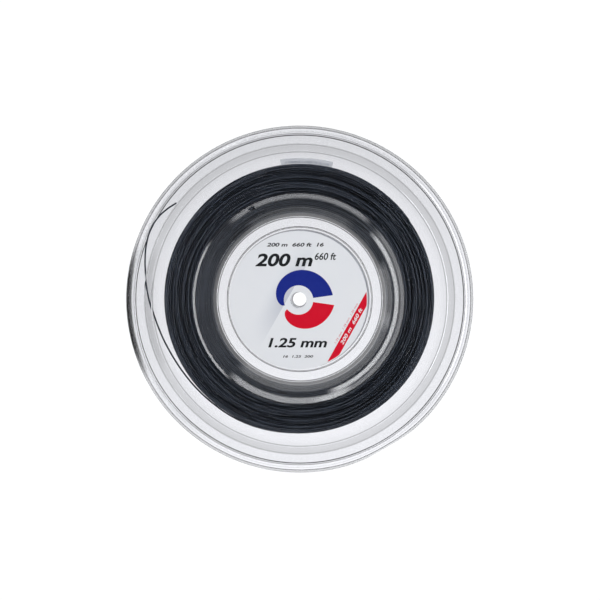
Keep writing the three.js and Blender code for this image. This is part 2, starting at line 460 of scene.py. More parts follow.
@dataclass(frozen=True)
class CoatedPaper:
    """Coated label paper, offset printed with a pale grey ground and a shaded diagonal fold.

    The ground shifts a little in tone from the press, and the fold is darkest beside its sharp edge.
    """

    ground: str = "e0e3e9"
    ground_mottled: str = "e4e6ea"
    shade: str = "b9bec9"
    slant: float = math.radians(60.4)
    edge: float = -7.6 * MM
    fade: float = 17 * MM
    reach: float = 50 * MM
    depth: float = 0.8
    mottle_width: float = 22 * MM
    fibre: float = 0.5 * MM
    relief: float = 0.05 * MM

    def measured(
        self,
        tree: bpy.types.NodeTree,
        apart: bpy.types.Node,
        way: tuple[float, float],
        centre: tuple[float, float],
        less: float,
    ) -> bpy.types.Node:
        """Measures how far a point is from the label's middle along a direction, less a constant.

        Args:
            tree: the material's node tree.
            apart: the node that gives the point's x and y.
            way: the direction.
            centre: the label's middle.
            less: what is taken away.

        Returns:
            The node that gives the distance in metres.
        """
        start = -(way[0] * centre[0] + way[1] * centre[1]) - less
        x_part = new_node(tree, "Math", (apart.outputs["X"], way[0], start), operation="MULTIPLY_ADD")
        return new_node(tree, "Math", (apart.outputs["Y"], way[1], x_part), operation="MULTIPLY_ADD")

    def material(self, name: str, centre: tuple[float, float], faces_down: bool) -> bpy.types.Material:
        """Builds the printed paper.

        Args:
            name: the material's name.
            centre: where the label's middle is, in metres.
            faces_down: whether the label faces down, so that its print reads from below.

        Returns:
            The material.
        """
        material, tree, place = new_material(name)
        apart = new_node(tree, "SeparateXYZ", (place,))
        flip = -1.0 if faces_down else 1.0
        across = (math.sin(self.slant) * flip, -math.cos(self.slant))
        along = (math.cos(self.slant) * flip, math.sin(self.slant))
        from_edge = self.measured(tree, apart, across, centre, self.edge)
        from_middle = self.measured(tree, apart, along, centre, 0.0)
        before = new_node(tree, "Math", (from_edge, 0.0), operation="LESS_THAN")
        lengthwise = new_node(tree, "Math", (from_middle,), operation="ABSOLUTE")
        fading, ends = (
            new_node(tree, "MapRange", sockets, interpolation_type="SMOOTHSTEP")
            for sockets in (
                (from_edge, -self.fade, 0.0, 0.0, 1.0),
                (lengthwise, 0.0, self.reach, self.depth, 0.0),
            )
        )
        one_side = new_node(tree, "Math", (fading, before), operation="MULTIPLY")
        amount = new_node(tree, "Math", (one_side, ends), operation="MULTIPLY")
        ground = patchy(tree, place, self.mottle_width, 2.0, (self.ground, self.ground_mottled))
        colour = new_node(tree, "MixRGB", (amount, ground, linear(self.shade)))
        fibres = new_node(tree, "TexNoise", {"Vector": place, "Scale": 1 / self.fibre, "Detail": 4.0})
        relief = new_node(tree, "Bump", {"Strength": 0.08, "Distance": self.relief, "Height": fibres})
        sheet = new_node(
            tree,
            "BsdfPrincipled",
            {
                "Base Color": colour,
                "Roughness": 0.42,
                "Coat Weight": 0.15,
                "Coat Roughness": 0.25,
                "Normal": relief,
            },
        )
        new_node(tree, "OutputMaterial", {"Surface": sheet})
        return material


@dataclass(frozen=True)
class OffsetInk:
    """Offset printing ink on coated paper: an even, slightly glossy film with a faint screen mottle."""

    colour: str
    mottled: str
    mottle_width: float = 2.5 * MM

    def material(self, name: str) -> bpy.types.Material:
        """Builds the ink film.

        Args:
            name: the material's name.

        Returns:
            The material.
        """
        material, tree, place = new_material(name)
        colour = patchy(tree, place, self.mottle_width, 5.0, (self.colour, self.mottled))
        film = new_node(
            tree, "BsdfPrincipled", {"Base Color": colour, "Roughness": 0.4, "Specular IOR Level": 0.3}
        )
        new_node(tree, "OutputMaterial", {"Surface": film})
        return material


@dataclass(frozen=True)
class MattFilm:
    """Matt translucent polypropylene sticker film: a grey veil over what lies behind it."""

    colour: str = "c6cbd1"
    clouded: str = "e2e5e8"
    cover: float = 0.6
    cloud_width: float = 6 * MM

    def material(self, name: str) -> bpy.types.Material:
        """Builds the sticker's film.

        Args:
            name: the material's name.

        Returns:
            The material.
        """
        material, tree, place = new_material(name)
        colour = patchy(tree, place, self.cloud_width, 3.0, (self.colour, self.clouded))
        film = new_node(tree, "BsdfPrincipled", {"Base Color": colour, "Roughness": 0.5, "Alpha": self.cover})
        new_node(tree, "OutputMaterial", {"Surface": film})
        return material


# ---------------------------------------------------------------- the two halves


@dataclass(frozen=True)
class AnchorSlot:
    """The slot in the front hub wall through which the string's inner end is pushed."""

    angle: float = 117.0
    radius: float = 76.6 * MM
    width: float = 2.1 * MM
    length: float = 3.8 * MM
    end_points: int = 13

    def frame(self, bow: tuple[float, float], top: float) -> tuple[np.ndarray, np.ndarray, np.ndarray]:
        """Where the slot is, on the straight stretch of the front hub wall above its bow.

        Args:
            bow: radius and height of the bow's corner on the rear half's wall line.
            top: radius where the hub wall meets the web.

        Returns:
            The middle of the wall there, the wall's outward normal and the way round the reel.
        """
        fall, run = bow[1] - WALL / 2, top - bow[0]
        height = REEL_WIDTH - WALL / 2 - (top - self.radius) * fall / run
        normal = polar(self.angle, -fall, run) / math.hypot(fall, run)
        return polar(self.angle, self.radius, height), normal, polar(self.angle + 90, 1.0, 0.0)

    def cutter(self, middle: np.ndarray, normal: np.ndarray, around: np.ndarray) -> bpy.types.Object:
        """A bar with round ends that stands square through the wall, to cut the slot with.

        Args:
            middle: the middle of the wall at the slot.
            normal: the wall's outward normal there.
            around: the way round the reel.

        Returns:
            The cutter, which is in the scene until it has been used.
        """
        end = self.width / 2
        half = self.length / 2 - end
        count = self.end_points
        turn = np.radians(np.concatenate([np.linspace(-90, 90, count), np.linspace(90, 270, count)]))
        shift = np.where(np.arange(len(turn)) < count, half, -half) + half
        flat = np.stack([end * np.cos(turn) + shift, end * np.sin(turn)], axis=1)
        across = np.cross(normal, around)
        outline = middle + flat[:, :1] * around + flat[:, 1:] * across
        points = np.stack([outline - 2 * WALL * normal, outline + 2 * WALL * normal])
        n = len(flat)
        faces = [*grid_quads(2, n, wrap_columns=True).tolist(), list(range(n))[::-1], list(range(n, 2 * n))]
        mesh = bpy.data.meshes.new("slot_cutter")
        mesh.from_pydata(points.reshape(-1, 3).tolist(), [], faces)
        cutter = bpy.data.objects.new("slot_cutter", mesh)
        bpy.context.scene.collection.objects.link(cutter)
        return cutter


def cut(piece: bpy.types.Object, cutter: bpy.types.Object) -> None:
    """Cuts a piece with a cutter, keeps the result as the piece's mesh and removes the cutter.

    Args:
        piece: the piece to cut.
        cutter: the closed mesh object to take away.
    """
    modifier = piece.modifiers.new("slot", "BOOLEAN")
    modifier.operation = "DIFFERENCE"
    modifier.solver = "EXACT"
    modifier.object = cutter
    result = piece.evaluated_get(bpy.context.evaluated_depsgraph_get())
    mesh = bpy.data.meshes.new_from_object(result)
    piece.modifiers.clear()
    old = piece.data
    piece.data = mesh
    mesh.name = old.name
    bpy.data.meshes.remove(old)
    bpy.data.objects.remove(cutter)
    log.info("%s: cut, %d faces", piece.name, len(mesh.polygons))


@dataclass
class ReelHalf:
    """One moulded half: hub floor with a label recess, hub wall, web, step, flat band and rolled rim."""

    side: Side
    finish: CrystalPolystyrene
    hole: float = 5.0 * MM
    spigot: float = 6.5 * MM
    # How much shorter the spigot is than the way through, and the gap round it.
    spigot_short: float = 0.1 * MM
    spigot_clear: float = 0.3 * MM
    recess: float = 54.0 * MM
    hub_floor: float = 62.0 * MM
    hub_top: float = 79.3 * MM
    hub_bow: float = 0.7 * MM
    web: float = 110.0 * MM
    step: float = 115.8 * MM
    step_height: float = 4.0 * MM
    # Roundings at the hub floor, the bow, the web, and the foot and head of the step.
    bends: tuple[float, ...] = (2.0 * MM, 90 * MM, 6.5 * MM, 1.0 * MM, 1.0 * MM)
    rim_bend: float = 6.6 * MM
    lips_gap: float = 1.2 * MM
    lip_bend: float = WALL / 2.2
    edge: float = 0.18 * MM
    dent_angle: float = -60.0
    dent_spread: float = 9.0
    dent_depth: float = 1.3 * MM
    dent_start: float = 118.0 * MM
    segments: int = 360
    anchor: AnchorSlot = AnchorSlot()

    def hub_middle(self, floor: float, top: float) -> tuple[float, float]:
        """The corner halfway up the hub wall, moved out so that the rounded wall is a shallow bow.

        Args:
            floor: height of the wall line's inner end.
            top: height of its outer end.

        Returns:
            The corner's radius and height.
        """
        run, fall = self.hub_top - self.hub_floor, floor - top
        long = math.hypot(run, fall)
        return (
            (self.hub_floor + self.hub_top) / 2 - self.hub_bow * fall / long,
            (floor + top) / 2 - self.hub_bow * run / long,
        )

    def wall_corners(self, sideways: float) -> list[tuple[float, float, float]]:
        """Corners of the wall's line moved sideways, from the hub floor to the lip.

        A line moved sideways meets its neighbour on the corner's bisector, and its rounding grows or
        shrinks by the distance moved, as the corner turns away or towards that side.

        Args:
            sideways: distance to the right of the line as it runs outwards, so positive is outside.

        Returns:
            (radius, height, rounding) of each corner but the line's ends.
        """
        floor, half = FLOOR_OUTER + WALL / 2, WALL / 2
        band, rim = self.step_height + WALL / 2, REEL_RADIUS - WALL / 2
        hub = [(self.recess, floor), (self.hub_floor, floor), self.hub_middle(floor, half)]
        flange = [(self.hub_top, half), (self.web, half), (self.step, band), (rim, band), (rim, MID_PLANE)]
        line = np.array(hub + flange)
        ways = np.diff(line, axis=0)
        ways /= np.linalg.norm(ways, axis=1)[:, None]
        rights = np.stack([ways[:, 1], -ways[:, 0]], axis=1)
        normals = rights[:-1] + rights[1:]
        normals /= np.linalg.norm(normals, axis=1)[:, None]
        stretch = sideways / np.einsum("ij,ij->i", normals, rights[:-1])
        places = line[1:-1] + normals * stretch[:, None]
        turns = ways[:-1, 0] * ways[1:, 1] - ways[:-1, 1] * ways[1:, 0]
        grown = np.array([*self.bends, self.rim_bend]) + np.sign(turns) * sideways
        return [(float(r), float(z), float(f)) for (r, z), f in zip(places, grown, strict=True)]

    def section(self) -> np.ndarray:
        """Puts together the closed section as the rear half has it, counter-clockwise.

        Returns:
            The section as an array of (radius, height).
        """
        lip = MID_PLANE - self.lips_gap / 2
        outside = self.wall_corners(WALL / 2)
        inside = self.wall_corners(-WALL / 2)[::-1]
        lips = [(radius, lip, self.lip_bend) for radius in (REEL_RADIUS, REEL_RADIUS - WALL)]
        if self.side is Side.REAR:
            top = REEL_WIDTH - RECESS_FLOOR - self.spigot_short
            corners = [(self.spigot, FLOOR_INNER), (self.spigot, top), (self.hole, top)]
            corners.append((self.hole, RECESS_FLOOR))
        else:
            clear = self.spigot + self.spigot_clear
            corners = [(clear, FLOOR_INNER), (clear, RECESS_FLOOR)]
        corners += [(self.recess, RECESS_FLOOR), (self.recess, FLOOR_OUTER)]
        middle = [(radius, height, self.edge) for radius, height in corners]
        return rounded_section([*middle, *outside, *lips, *inside])

    def dented(self, points: np.ndarray) -> np.ndarray:
        """Presses the thin rim in by a little over a millimetre at one place, as a knock leaves it.

        The push is a bell curve of the angle, times the square of how far out the point is past the
        start of the flat band.

        Args:
            points: the half's points, in place.

        Returns:
            The points pressed in.
        """
        angle = np.degrees(np.arctan2(points[..., 1], points[..., 0]))
        away = (angle - self.dent_angle + 180) % 360 - 180
        radius = np.hypot(points[..., 0], points[..., 1])
        out = np.clip((radius - self.dent_start) / (REEL_RADIUS - self.dent_start), 0, 1)
        push = self.dent_depth * np.exp(-((away / self.dent_spread) ** 2)) * out**2
        scale = (radius - push) / radius
        return points * np.stack([scale, scale, np.ones_like(scale)], axis=-1)

    def build(self) -> bpy.types.Object:
        """Turns the section round the axis, puts the half in its place and cuts the front one's slot.

        Returns:
            The half.
        """
        side = self.side.value
        points, quads = turned_section(self.section(), self.segments)
        points = self.dented(turned_over(points) if self.side is Side.FRONT else points)
        piece = new_piece(f"{side}_half", points, quads, self.finish.material(f"crystal_polystyrene_{side}"))
        if self.side is Side.FRONT:
            cut(piece, self.anchor.cutter(*self.anchor_frame()))
        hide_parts(f"{side}_shell")
        return piece

    def anchor_frame(self) -> tuple[np.ndarray, np.ndarray, np.ndarray]:
        """The slot's middle, the wall's outward normal there and the way round the reel."""
        bow = self.hub_middle(FLOOR_OUTER + WALL / 2, WALL / 2)
        return self.anchor.frame(bow, self.hub_top)


# ---------------------------------------------------------------- the string


@dataclass
class WoundString:
    """The whole string wound layer on layer between the two halves.

    It is one path: its layers run to and fro between the walls, each a little further out, and it climbs
    to the next layer near each wall. It ends where the loose end leaves the winding.
    """

    finish: PolyesterMonofilament
    length: float = 200.0
    first_radius: float = 65.6 * MM
    last_radius: float = 100.0 * MM
    lean: float = 0.35 * MM
    lean_angle: float = math.radians(130)
    layer_step: float = 1.18 * MM
    end_angle: float = 235.0
    depth: float = 10.5 * MM
    # Each wave of the inset: how many rings it spans, and its weight.
    inset_waves: tuple[tuple[float, float], ...] = ((3.1, 0.9), (4.7, 0.9), (8.3, 0.5))
    inset_level: float = 0.68
    inset_swing: float = 0.8
    # Each wave by which the hollows wander round the reel: its weight, its count a turn and its phase.
    wander: tuple[tuple[float, int, float], ...] = ((0.5, 2, 1.0), (0.25, 5, 0.0))
    # Where the room is narrower than this, the insets shrink with it.
    narrow: float = 5 * MM
    wall_gap: float = 0.35 * MM
    # How far past its room a swaying turn may still press.
    squeeze: float = 0.2 * MM
    least_room: float = 0.2 * MM
    cone_foot: float = 64.2 * MM
    cone_slope: float = 10.35 / 17.3
    climb_turns: float = 0.34
    leave_turns: float = 0.13
    leave_radius: float = 101.85 * MM
    leave_height: float = 10.2 * MM
    sway: float = 0.09 * MM
    drift: float = 0.12 * MM
    sway_turns: tuple[float, ...] = (0.37, 0.61, 1.13, 1.87, 3.3)
    drift_ratio: float = 1.09
    samples_per_turn: int = 96
    sides: int = 6
    seed: int = 11

    def room(self, radius: np.ndarray) -> np.ndarray:
        """Half the width that the string's middle has at a radius, from the mid-plane.

        Past the hub wall it is the flat space between the webs; inside it narrows with the hub wall.

        Args:
            radius: distances from the axis.

        Returns:
            The half widths, in metres.
        """
        flat = MID_PLANE - WALL - self.wall_gap - STRING_DIAMETER / 2
        cone = (radius - self.cone_foot) * self.cone_slope
        return np.clip(np.minimum(flat, cone), self.least_room, None)

    def layer_radii(self) -> np.ndarray:
        """The radius of each layer, evenly spaced."""
        count = round((self.last_radius - self.first_radius) / self.layer_step) + 1
        return np.linspace(self.first_radius, self.last_radius, count)

    def pitch(self) -> float:
        """The spacing of turns that uses up the string's length: their circles add up to it."""
        radius = self.layer_radii()
        return float((2 * math.pi * radius * 2 * self.room(radius)).sum() / self.length)

    def inset(self, ring: np.ndarray, rng: np.random.Generator) -> np.ndarray:
        """How far a layer's end turn stops short of the wall.

        It is a sum of three waves over the count of rings outwards, which includes the share of a turn,
        so that the hollows between the rings slant across them.

        Args:
            ring: the layer's number plus its share of a turn.
            rng: where the phases come from.

        Returns:
            The distance in metres.
        """
        waves = sum(
            weight * np.sin(2 * math.pi * ring / rings + rng.uniform(0, 2 * math.pi))
            for rings, weight in self.inset_waves
        )
        return self.depth * np.clip(self.inset_level + waves * self.inset_swing, 0, 1)

    def path(self) -> np.ndarray:
        """The string's middle line, from its inner end to where it leaves the winding.

        A point's layer and its share of that layer come from the count of turns so far. Its height
        runs from one wall to the other over the layer, short of each wall by an uneven inset, and its
        radius is the layer's, with a smooth climb to the next layer over the last third of a turn.
        The inset follows the count of rings plus two waves of the angle, so that the hollows wander.
        Slow waves with no common period keep neighbouring turns from lying evenly, and the winding
        grows a little thicker on one side, by a cosine of the angle.

        Returns:
            The line's points.
        """
        radius = self.layer_radii()
        turns = 2 * self.room(radius) / self.pitch()
        log.info("%d layers, turns %.2f mm apart", len(radius), self.pitch() / MM)
        starts = np.concatenate([[0], np.cumsum(turns)])
        total = float(starts[-1])
        count = int(total * self.samples_per_turn)
        u = np.linspace(0, total, count)
        layer = np.clip(np.searchsorted(starts, u, side="right") - 1, 0, len(radius) - 1)
        share = (u - starts[layer]) / turns[layer]
        climb = smooth_step((share - 1) * turns[layer] / self.climb_turns + 1)
        climb[layer == len(radius) - 1] = 0
        base = radius[layer] + self.layer_step * climb
        rng = np.random.default_rng(self.seed)
        degrees = self.end_angle + (total - u) * 360
        room = self.room(base)
        shrink = np.clip(room / self.narrow, 0, 1)
        angle = np.radians(degrees)
        ring = layer - degrees / 360
        for weight, waves, phase in self.wander:
            ring = ring + weight * np.sin(waves * angle + phase)
        low = -room + self.inset(ring, rng) * shrink
        high = room - self.inset(ring, rng) * shrink
        to_and_fro = np.where(layer % 2 == 0, share, 1 - share)
        height = MID_PLANE + low + (high - low) * to_and_fro
        wave_r, wave_z = np.zeros(count), np.zeros(count)
        for turns_per_wave in self.sway_turns:
            phase = rng.uniform(0, 2 * math.pi, 2)
            wave_r += np.sin(2 * math.pi * u / turns_per_wave + phase[0])
            wave_z += np.sin(2 * math.pi * u / (turns_per_wave * self.drift_ratio) + phase[1])
        share_out = (base - self.first_radius) / (self.last_radius - self.first_radius)
        base = base + wave_r * self.sway + self.lean * share_out * np.cos(angle - self.lean_angle)
        height = height + wave_z * self.drift
        most = self.room(base) + self.squeeze
        height = np.clip(height, MID_PLANE - most, MID_PLANE + most)
        ease = smooth_step((u - total) / self.leave_turns + 1)
        base = base * (1 - ease) + self.leave_radius * ease
        height = height * (1 - ease) + self.leave_height * ease
        return polar(degrees, base, height)

    def build(self) -> list[bpy.types.Object]:
        """Winds the string and cuts it into stretches of a handy size.

        Returns:
            The three stretches.
        """
        material = self.finish.material("black_polyester_monofilament_wound")
        line = self.path()
        long = float(np.linalg.norm(np.diff(line, axis=0), axis=1).sum())
        log.info("wound string: %.1f m", long)
        cuts = [0, len(line) // 3, 2 * len(line) // 3, len(line) - 1]
        pieces = []
        for name, start, end in zip(("inner", "middle", "outer"), cuts[:-1], cuts[1:], strict=True):
            piece = carried_round(f"wound_string_{name}", line[start : end + 1], material, self.sides)
            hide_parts("string_winding")
            pieces.append(piece)
        return pieces


@dataclass
class LooseEnd:
    """The string's loose outer end, from the winding to its bare cut tip between the flanges."""

    finish: PolyesterMonofilament
    # Angle in degrees, radius and height in millimetres.
    route: tuple[tuple[float, float, float], ...] = (
        (235, 101.85, 10.2),
        (228, 101.95, 10.4),
        (220.7, 102.4, 10.8),
        (214, 103.0, 11.2),
        (207, 104.0, 11.7),
        (201.5, 105.1, 12.1),
        (196.3, 106.5, 12.5),
        (191.5, 107.9, 12.8),
        (186.8, 109.6, 13.0),
        (180, 112.6, 13.2),
        (175, 114.9, 13.2),
        (170.5, 117.1, 13.1),
        (165, 119.9, 12.9),
        (160, 122.1, 12.6),
        (155, 123.3, 12.3),
        (150, 122.5, 12.1),
        (146, 120.3, 12.0),
        (142, 117.2, 12.0),
    )
    curve_steps: int = 8
    bevel_steps: int = 3

    def build(self) -> bpy.types.Object:
        """Returns:
            The curve object.
        """
        angle, radius, height = np.array(self.route).T
        points = polar(angle, radius * MM, height * MM)
        curve = bpy.data.curves.new("loose_string_end", "CURVE")
        curve.dimensions = "3D"
        curve.resolution_u = self.curve_steps
        curve.bevel_depth = STRING_DIAMETER / 2
        curve.bevel_resolution = self.bevel_steps
        curve.use_fill_caps = True
        spline = curve.splines.new("BEZIER")
        spline.bezier_points.add(len(points) - 1)
        spline.bezier_points.foreach_set("co", points.ravel())
        for knot in spline.bezier_points:
            knot.handle_left_type = knot.handle_right_type = "AUTO"
        curve.materials.append(self.finish.material("black_polyester_monofilament_loose"))
        piece = bpy.data.objects.new("loose_string_end", curve)
        bpy.context.scene.collection.objects.link(piece)
        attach(piece, "root")
        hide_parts("string_tail")
        return piece


@dataclass
class InnerEnd:
    """The start of the string, pushed out through the anchor slot and laid round the hub wall."""

    finish: PolyesterMonofilament
    middle: np.ndarray
    normal: np.ndarray
    around: np.ndarray
    clearance: float = 0.15 * MM
    reach: float = 3.8 * MM
    bend: float = 0.62
    lag: float = 1.6
    steps: int = 28
    sides: int = 16

    def build(self) -> bpy.types.Object:
        """Carries the string's section along a smooth bend out of the slot and along the wall.

        The bend runs out of the wall by a smooth step of the share of the way, and round the reel by
        that share to a power over one, so it lags behind.

        Returns:
            The piece.
        """
        laid = (WALL + STRING_DIAMETER) / 2 + self.clearance
        share = np.linspace(0, 1, self.steps)
        out = -WALL / 2 + (laid + WALL / 2) * smooth_step(share / self.bend)
        along = self.reach * share**self.lag
        line = self.middle + out[:, None] * self.normal + along[:, None] * self.around
        material = self.finish.material("black_polyester_monofilament_inner_end")
        piece = carried_round("string_start", line, material, self.sides)
        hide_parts("string_inner_end")
        return piece


# ---------------------------------------------------------------- labels


@dataclass
class HubLabel:
    """A round printed paper label in a hub dish, with its inks as thin films on the paper."""

    side: Side
    centre: tuple[float, float]
    paper: CoatedPaper = CoatedPaper()
    blue: OffsetInk = OffsetInk("11217c", "182a84")
    red: OffsetInk = OffsetInk("cb0322", "d1082b")
    black: OffsetInk = OffsetInk("0d0e11", "15171b")
    white: OffsetInk = OffsetInk("eef0f3", "e3e6ea")
    radius: float = 51.8 * MM
    hole: float = 6.0 * MM
    thickness: float = 0.12 * MM
    glue: float = 0.05 * MM
    ink: float = INK_FILM
    # How far the white print, which lies on the red, is above the paper.
    lift: float = 0.75 * INK_FILM
    slant: float = 60.9
    segments: int = 240
    # The slant of the figures, and how thick and how finely curved they are before they are sized.
    shear: float = 0.22
    made_thick: float = 0.01
    curve_steps: int = 6
    sweep_points: int = 60
    arc_points: int = 12

    def top(self) -> float:
        """Height of the paper's printed face, as the rear half is made: its face looks down."""
        return RECESS_FLOOR - self.glue - self.thickness

    def placed(self, points: np.ndarray) -> np.ndarray:
        """Moves print made flat at the origin, facing up, onto the label's printed face.

        Args:
            points: an array whose last axis is x, y, z.

        Returns:
            The points where the label has them.
        """
        face = REEL_WIDTH - self.top()
        there = points + np.array([self.centre[0], self.centre[1], face])
        return there if self.side is Side.FRONT else turned_over(there)

    def disc(self) -> bpy.types.Object:
        """Makes the paper: a thin ring with rounded edges and its print on one face.

        Returns:
            The paper.
        """
        side = self.side.value
        section = sheet_section(self.hole, self.radius, -self.thickness, self.thickness)
        points, quads = turned_section(section, self.segments)
        x, y, _ = (float(v) for v in self.placed(np.zeros(3)))
        material = self.paper.material(f"coated_paper_{side}", (x, y), self.side is Side.REAR)
        piece = new_piece(f"{side}_label_paper", self.placed(points), quads, material)
        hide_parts(f"{side}_label")
        return piece

    def film(self, name: str, flat: list[bpy.types.Mesh], material: bpy.types.Material) -> bpy.types.Object:
        """Joins flat closed meshes of one ink and lays them on the label.

        Args:
            name: what the film is called after the label's side.
            flat: the meshes, flat at the origin.
            material: the ink.

        Returns:
            The film.
        """
        points, ngons, count = [], [], 0
        for mesh in flat:
            points.append(coordinates(mesh).astype(float))
            ngons += [np.array(p.vertices) + count for p in mesh.polygons]
            count += len(mesh.vertices)
        piece = new_piece(
            f"{self.side.value}_label_{name}",
            self.placed(np.concatenate(points)),
            np.zeros((0, 4), int),
            material,
            ngons=tuple(ngons),
            crease=20,
        )
        return piece

    def outline(self, loops: list[np.ndarray]) -> bpy.types.Mesh:
        """Makes a flat closed film from outlines.

        Args:
            loops: outlines in millimetres from the label's middle.

        Returns:
            The film's mesh.
        """
        curve = bpy.data.curves.new("print", "CURVE")
        curve.dimensions = "2D"
        curve.fill_mode = "BOTH"
        curve.extrude = self.ink / 2
        for loop in loops:
            spline = curve.splines.new("POLY")
            spline.points.add(len(loop) - 1)
            flat = np.concatenate([loop * MM, np.zeros((len(loop), 1)), np.ones((len(loop), 1))], axis=1)
            spline.points.foreach_set("co", flat.ravel())
            spline.use_cyclic_u = True
        return self.meshed(bpy.data.objects.new("print", curve))

    def figures(
        self,
        text: str,
        size: tuple[float, float],
        place: tuple[float, float],
        bold: float = 0.0,
        turn: float = 0.0,
        lift: float = 0.0,
    ) -> bpy.types.Mesh:
        """Slanted figures and unit signs as a flat film.

        Args:
            text: what they say.
            size: the width of the whole line and the height of a figure, in millimetres.
            place: where the line starts and where its foot is, in millimetres from the label's middle.
            bold: how much fatter the strokes are, in shares of the font's size.
            turn: how far the line is turned about the label's middle, in degrees.
            lift: how far the film lies above the paper, for print on print.

        Returns:
            The film's mesh.
        """
        curve = bpy.data.curves.new("print", "FONT")
        curve.body = text
        curve.shear = self.shear
        curve.offset = bold
        curve.extrude = self.made_thick
        curve.resolution_u = self.curve_steps
        mesh = self.meshed(bpy.data.objects.new("print", curve))
        co = coordinates(mesh)
        low, high = co.min(0), co.max(0)
        scale = np.array([*size, self.ink / MM]) * MM / (high - low)
        co = (co - low) * scale + np.array([place[0] * MM, place[1] * MM, lift - self.ink / 2])
        c, s = math.cos(math.radians(turn)), math.sin(math.radians(turn))
        co = co @ np.array([[c, s, 0.0], [-s, c, 0.0], [0.0, 0.0, 1.0]])
        mesh.vertices.foreach_set("co", co.astype(np.float32).ravel())
        return mesh

    def meshed(self, thing: bpy.types.Object) -> bpy.types.Mesh:
        """Takes the mesh of a text or curve object and removes the object.

        Args:
            thing: the object, not yet in the scene.

        Returns:
            The mesh.
        """
        bpy.context.scene.collection.objects.link(thing)
        mesh = bpy.data.meshes.new_from_object(thing.evaluated_get(bpy.context.evaluated_depsgraph_get()))
        bpy.data.objects.remove(thing)
        return mesh

    def sweep(self, start: float, end: float, inner: float, outer: float) -> np.ndarray:
        """A crescent round the spindle hole that grows from a point to its full width.

        Its inner edge is a circle, and its outer edge moves out in step with the square root of the
        share of the angle.

        Args:
            start: the angle of its point, in degrees.
            end: the angle of its full width.
            inner: the inner edge's radius, in millimetres.
            outer: the outer edge's radius at its full width.

        Returns:
            The outline in millimetres.
        """
        share = np.linspace(0, 1, self.sweep_points)
        angle = np.radians(start + (end - start) * share)
        width = (outer - inner) * np.sqrt(share)
        edge = np.stack([np.cos(angle), np.sin(angle)], axis=1)
        return np.concatenate([edge * inner, (edge * (inner + width)[:, None])[::-1]])

    def stripe(self, near: float, far: float, limit: float) -> np.ndarray:
        """The diagonal corner stripe: the part of a slanted band that lies inside a circle.

        Args:
            near: the band's distance from the label's middle, in millimetres.
            far: the distance of its far edge.
            limit: the circle's radius.

        Returns:
            The outline in millimetres.
        """
        slant = math.radians(self.slant)
        across = np.array([math.sin(slant), -math.cos(slant)])
        along = np.array([math.cos(slant), math.sin(slant)])
        start, end = (math.atan2(math.sqrt(limit**2 - apart**2), apart) for apart in (near, far))
        count = self.arc_points
        angle = np.concatenate([np.linspace(start, end, count), np.linspace(-end, -start, count)])[:, None]
        return limit * (across * np.cos(angle) + along * np.sin(angle))

    def build(self) -> list[bpy.types.Object]:
        """Makes the paper and its four inks.

        Returns:
            The paper and the films.
        """
        prints = {
            "blue": [self.outline([self.sweep(202, 8, 11.0, 26.0)])],
            "red": [
                self.outline([self.sweep(218, 352, 11.0, 27.0)]),
                self.outline([self.stripe(41.4, 46.7, 51.2)]),
                self.figures("1.25 mm  1.25 mm  1.25 mm", (34.0, 1.5), (-15.0, -40.4), turn=self.slant),
            ],
            "black": [
                self.figures("200 m", (43.0, 9.7), (-32.4, 25.1), bold=0.03),
                self.figures("660 ft", (16.1, 5.4), (12.1, 30.0), bold=0.018),
                self.figures("1.25 mm", (44.1, 7.2), (-22.7, -35.6), bold=0.028),
                self.figures("200 m  660 ft  16", (42.7, 2.9), (-23.8, 40.0), bold=0.03),
                self.figures("16  1.25  200", (22.6, 1.9), (-11.6, -43.2), bold=0.025),
            ],
            "white": [
                self.figures(
                    "200 m  660 ft", (30.7, 2.7), (-13.3, -45.5), bold=0.02, turn=self.slant, lift=self.lift
                )
            ],
        }
        inks = {"blue": self.blue, "red": self.red, "black": self.black, "white": self.white}
        pieces = [self.disc()]
        for colour, flat in prints.items():
            ink = inks[colour].material(f"offset_ink_{colour}_{self.side.value}")
            pieces.append(self.film(f"{colour}_print", flat, ink))
        return pieces


